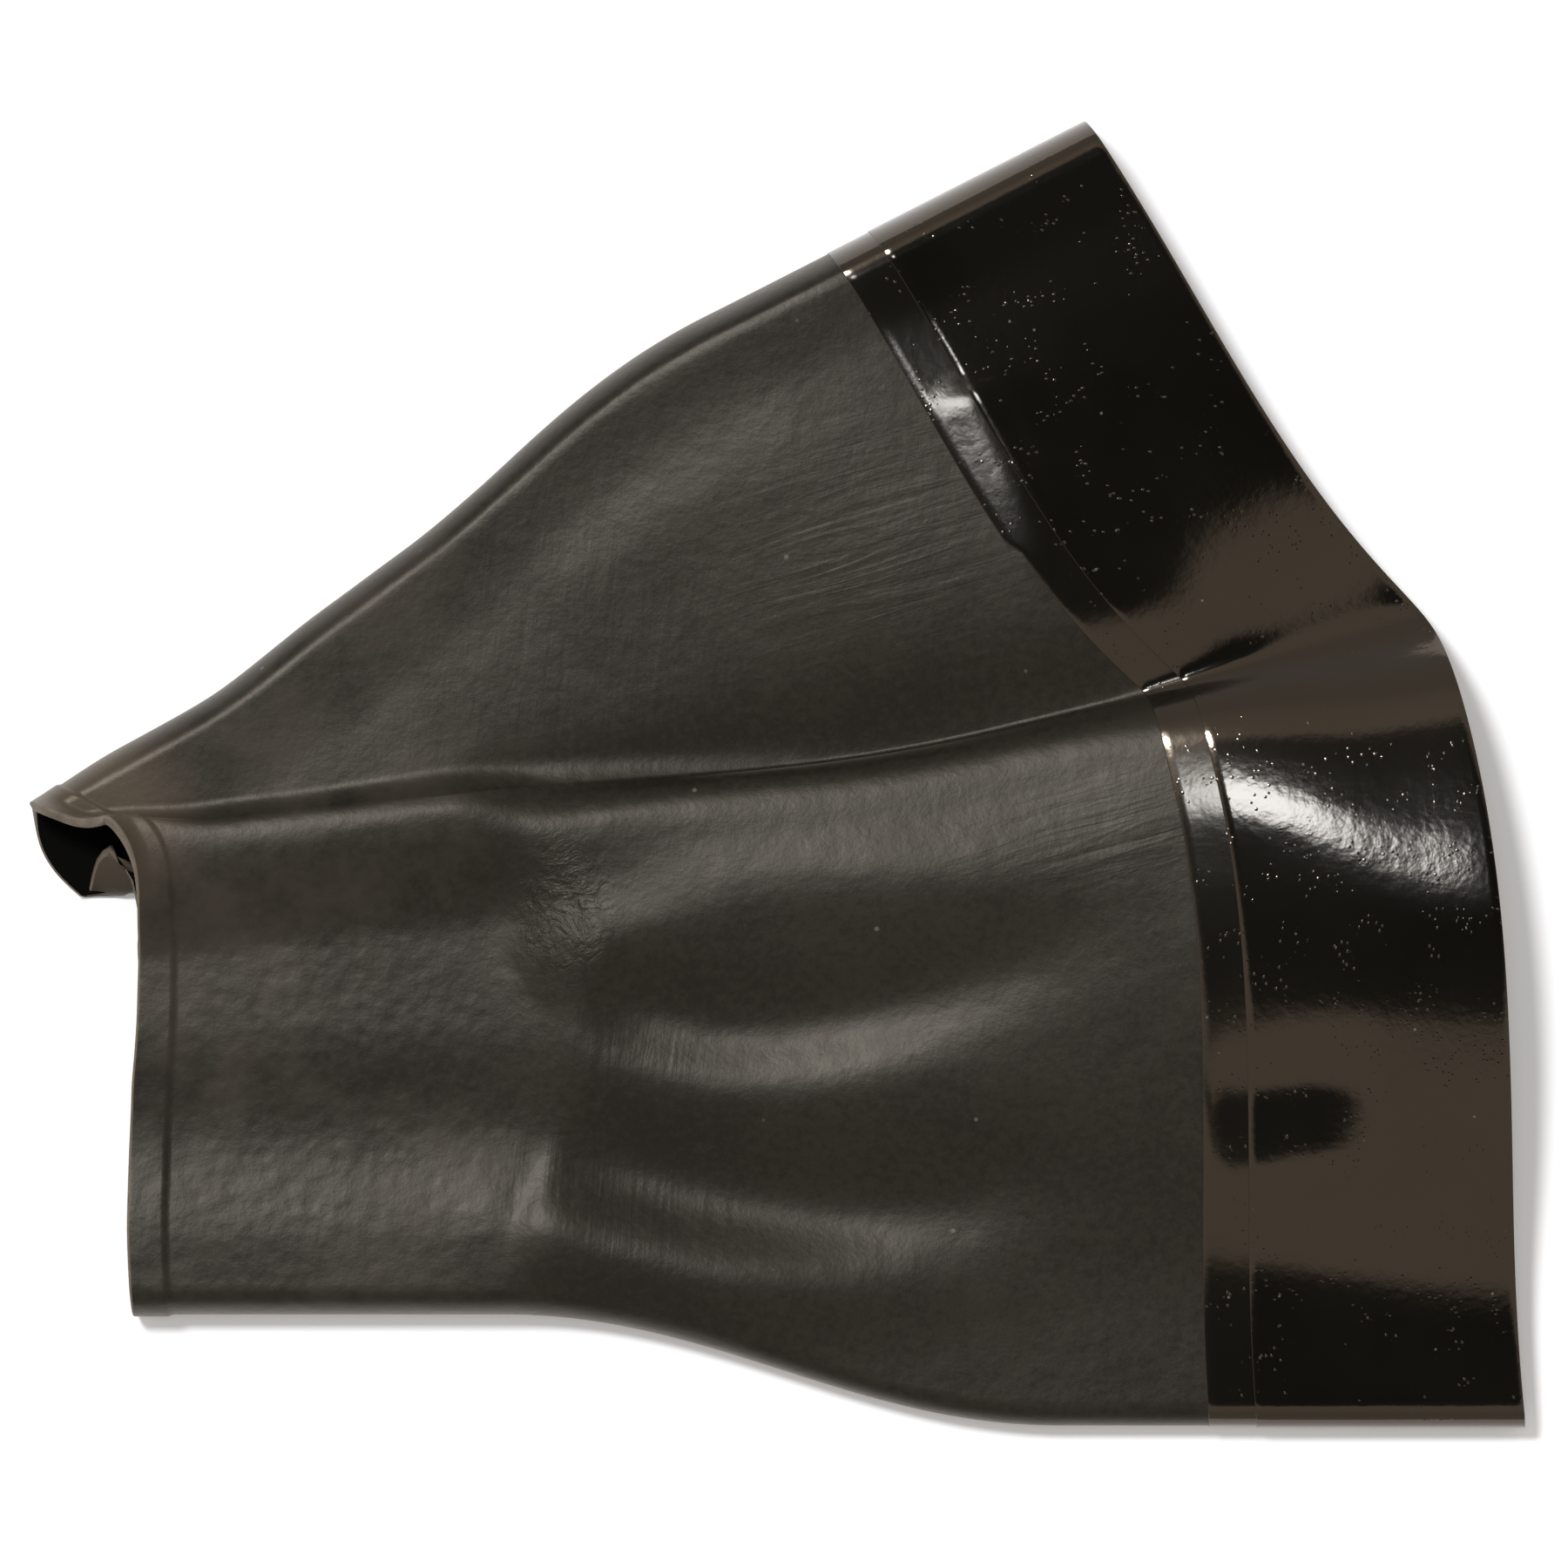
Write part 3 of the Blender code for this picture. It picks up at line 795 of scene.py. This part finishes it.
def matt_rubber():
    """Dipped rubber with a dull leathery skin."""
    n = Nodes("matt_rubber")
    grain = n.noise(900.0, 4.0, 0.7)
    n.surface("Base Color", matt_colour(n, grain))
    n.surface("Roughness", n.sum(0.34, n.times(0.10, n.noise(120.0, 3.0)), n.times(0.08, grain)))
    n.surface("Specular IOR Level", 0.37)
    n.surface("Specular Tint", MATT_TINT)
    n.surface("Sheen Weight", 0.20)
    n.surface("Sheen Roughness", 0.35)
    n.surface("Sheen Tint", SHEEN_TINT)
    n.surface("Normal", matt_bump(n))
    return n.material


def gloss_rubber(name, roughness):
    """A smooth, wet-looking skin with orange peel, fine pits and dust."""
    n = Nodes(name)
    colour = n.blend(n.fade(n.noise(45.0, 3.0, 0.5), 0.35, 0.65), GLOSS_DARK, GLOSS_PALE)
    colour = n.blend(n.times(dots(n, 420.0, 0.05, 0.10, 300.0), 0.55), colour, GLOSS_DUST)
    n.surface("Base Color", colour)
    n.surface("Roughness", roughness)
    n.surface("Specular IOR Level", 1.0)
    n.surface("Specular Tint", GLOSS_TINT)
    bump = n.bump(n.noise(850.0, 2.0, 0.5), PEEL_DEPTH)
    pits = n.times(n.fade(n.cells(1250.0), 0.0, 0.28, 1.0, 0.0),
                   n.fade(n.noise(240.0, 1.0), 0.52, 0.62))
    bump = n.bump(pits, PIT_DEPTH, bump)
    n.surface("Normal", n.bump(n.noise(150.0, 2.0), WAVE_DEPTH, bump))
    return n.material


def cut_edge():
    """The rubber where it was cut: paler, tan-grey and dull."""
    n = Nodes("cut_edge")
    n.surface("Base Color", n.blend(n.fade(n.noise(500.0, 3.0, 0.6), 0.3, 0.7), CUT_DARK, CUT_PALE))
    n.surface("Roughness", 0.6)
    n.surface("Normal", n.bump(n.noise(2400.0, 2.0), PLAIN_DEPTH))
    return n.material


def inner_rubber():
    """The inside of the sleeve, near black and dull."""
    n = Nodes("inner_rubber")
    n.surface("Base Color", n.blend(n.noise(60.0, 3.0), INNER_DARK, INNER_PALE))
    n.surface("Roughness", 0.8)
    n.surface("Specular IOR Level", 0.05)
    n.surface("Normal", n.bump(n.noise(1200.0, 3.0), PLAIN_DEPTH))
    return n.material


# ------------------------------------------------- the studio
FLOOR_SIZE = 6.0
FLOOR_DROP = 0.0001
FLOOR_WHITE = (0.92, 0.92, 0.92, 1.0)
FLOOR_ROUGHNESS = 0.9
FLOOR_GLOW = 0.18           # what camera and mirrored rays see of it beyond its own colour
VIEW_WIDTH = 0.198          # what the picture takes in from side to side
CAMERA_HEIGHT = 1.60
CAMERA_SHIFT = (0.0008, -0.0012)
SENSOR = 36.0               # in millimetres
CLIP_START = 0.01
LAMPS = (       # name, place, width, share of the plain level on a level white card, and colour
    ("key", (-0.49, 0.55, 1.70), 0.30, 0.58, (0.97, 0.98, 1.0)),
    ("glint", (-0.099, 0.172, 1.70), 0.18, 0.05, (0.70, 0.82, 1.0)),
)
WORLD_LEVEL = 0.56
# The room's colour, by how far up it one looks: 0 level or below, 1 straight up.
WORLD_COLOURS = ((0.0, (0.75, 0.73, 0.71)), (0.60, (0.80, 0.74, 0.69)), (0.80, (1.0, 0.92, 0.84)),
                 (0.940, (1.0, 0.92, 0.84)), (0.958, (0.03, 0.03, 0.026)),
                 (1.0, (0.018, 0.018, 0.015)))


def make_floor():
    """A plain floor that shows white and keeps the shadow."""
    mesh = bpy.data.meshes.new("floor")
    half = FLOOR_SIZE / 2
    corners = [(x, y, -FLOOR_DROP) for x, y in ((-half, -half), (half, -half), (half, half),
                                                (-half, half))]
    mesh.from_pydata(corners, [], [(0, 1, 2, 3)])
    floor = bpy.data.objects.new("floor", mesh)
    bpy.context.scene.collection.objects.link(floor)
    floor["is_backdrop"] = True
    n = Nodes("floor_white")
    n.surface("Base Color", FLOOR_WHITE)
    n.surface("Roughness", FLOOR_ROUGHNESS)
    n.surface("Specular IOR Level", 0.0)
    seen = n.add("ShaderNodeLightPath")
    share = n.sum(seen.outputs["Is Camera Ray"], seen.outputs["Is Glossy Ray"],
                  seen.outputs["Is Transmission Ray"])
    glow = n.add("ShaderNodeEmission")
    n.link(n.math("MULTIPLY", share, FLOOR_GLOW, clamp=True), glow.inputs["Strength"])
    both = n.add("ShaderNodeAddShader")
    output = n.tree.nodes["Material Output"]
    n.link(n.shader.outputs[0], both.inputs[0])
    n.link(glow.outputs[0], both.inputs[1])
    n.link(both.outputs[0], output.inputs["Surface"])
    mesh.materials.append(n.material)


def make_world():
    """A pale, slightly warm room that is dark straight overhead, round the camera."""
    world = bpy.data.worlds.new("room")
    bpy.context.scene.world = world
    world.use_nodes = True
    tree = world.node_tree
    background = tree.nodes["Background"]
    place = tree.nodes.new("ShaderNodeTexCoord")
    split = tree.nodes.new("ShaderNodeSeparateXYZ")
    ramp = tree.nodes.new("ShaderNodeValToRGB")
    tree.links.new(place.outputs["Generated"], split.inputs[0])
    tree.links.new(split.outputs["Z"], ramp.inputs[0])
    tree.links.new(ramp.outputs[0], background.inputs["Color"])
    elements = ramp.color_ramp.elements
    ready = len(elements)
    for index, (height, colour) in enumerate(WORLD_COLOURS):
        stop = elements[index] if index < ready else elements.new(height)
        stop.position = height
        stop.color = (*colour, 1.0)
    background.inputs["Strength"].default_value = WORLD_LEVEL


def make_lamps():
    """A soft key lamp up to the left, and a small one beside the camera for the glints."""
    for name, place, width, level, colour in LAMPS:
        place = Vector(place)
        data = bpy.data.lights.new(name, "AREA")
        data.shape = "DISK"
        data.size = width
        # A disk of this energy lights a level white card in the middle to this share.
        data.energy = level * math.pi * math.pi * place.length ** 4 / place.z ** 2
        data.color = colour
        lamp = bpy.data.objects.new(name, data)
        bpy.context.scene.collection.objects.link(lamp)
        lamp.location = place
        lamp.rotation_euler = (-place).to_track_quat("-Z", "Y").to_euler()


def make_camera():
    """A camera that looks straight down on the middle of the part."""
    low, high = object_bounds()
    middle = (low + high) / 2
    data = bpy.data.cameras.new("camera")
    data.sensor_width = SENSOR
    data.lens = SENSOR * (CAMERA_HEIGHT - high.z / 2) / VIEW_WIDTH
    data.clip_start = CLIP_START
    camera = bpy.data.objects.new("camera", data)
    bpy.context.scene.collection.objects.link(camera)
    camera.location = (middle.x + CAMERA_SHIFT[0], middle.y + CAMERA_SHIFT[1], CAMERA_HEIGHT)
    bpy.context.scene.camera = camera


def make_pieces():
    """The sleeve and its two bonded plies."""
    matt = matt_rubber()
    gloss = gloss_rubber("gloss_rubber", GLOSS_ROUGHNESS)
    under = gloss_rubber("ply_rubber", PLY_ROUGHNESS)
    make_shell("sleeve", "sleeve_body", 0.0, sleeve_depth, WALL, RIM_ROUNDING,
               (matt, cut_edge(), inner_rubber()))
    make_shell("under_ply_skin", "under_ply", LENGTH - UNDER_PLY_WIDTH,
               lambda along: np.full(len(along), UNDER_PLY_DEPTH), PLY_THICKNESS, PLY_ROUNDING,
               (under, under, under), LAP_STEP)
    make_shell("gloss_band_skin", "gloss_band", LENGTH - UPPER_PLY_WIDTH,
               lambda along: np.zeros(len(along)), PLY_THICKNESS, PLY_ROUNDING,
               (gloss, gloss, gloss))


def main():
    make_pieces()
    make_floor()
    make_world()
    make_lamps()
    make_camera()
    bpy.context.scene.view_settings.view_transform = "Standard"


main()
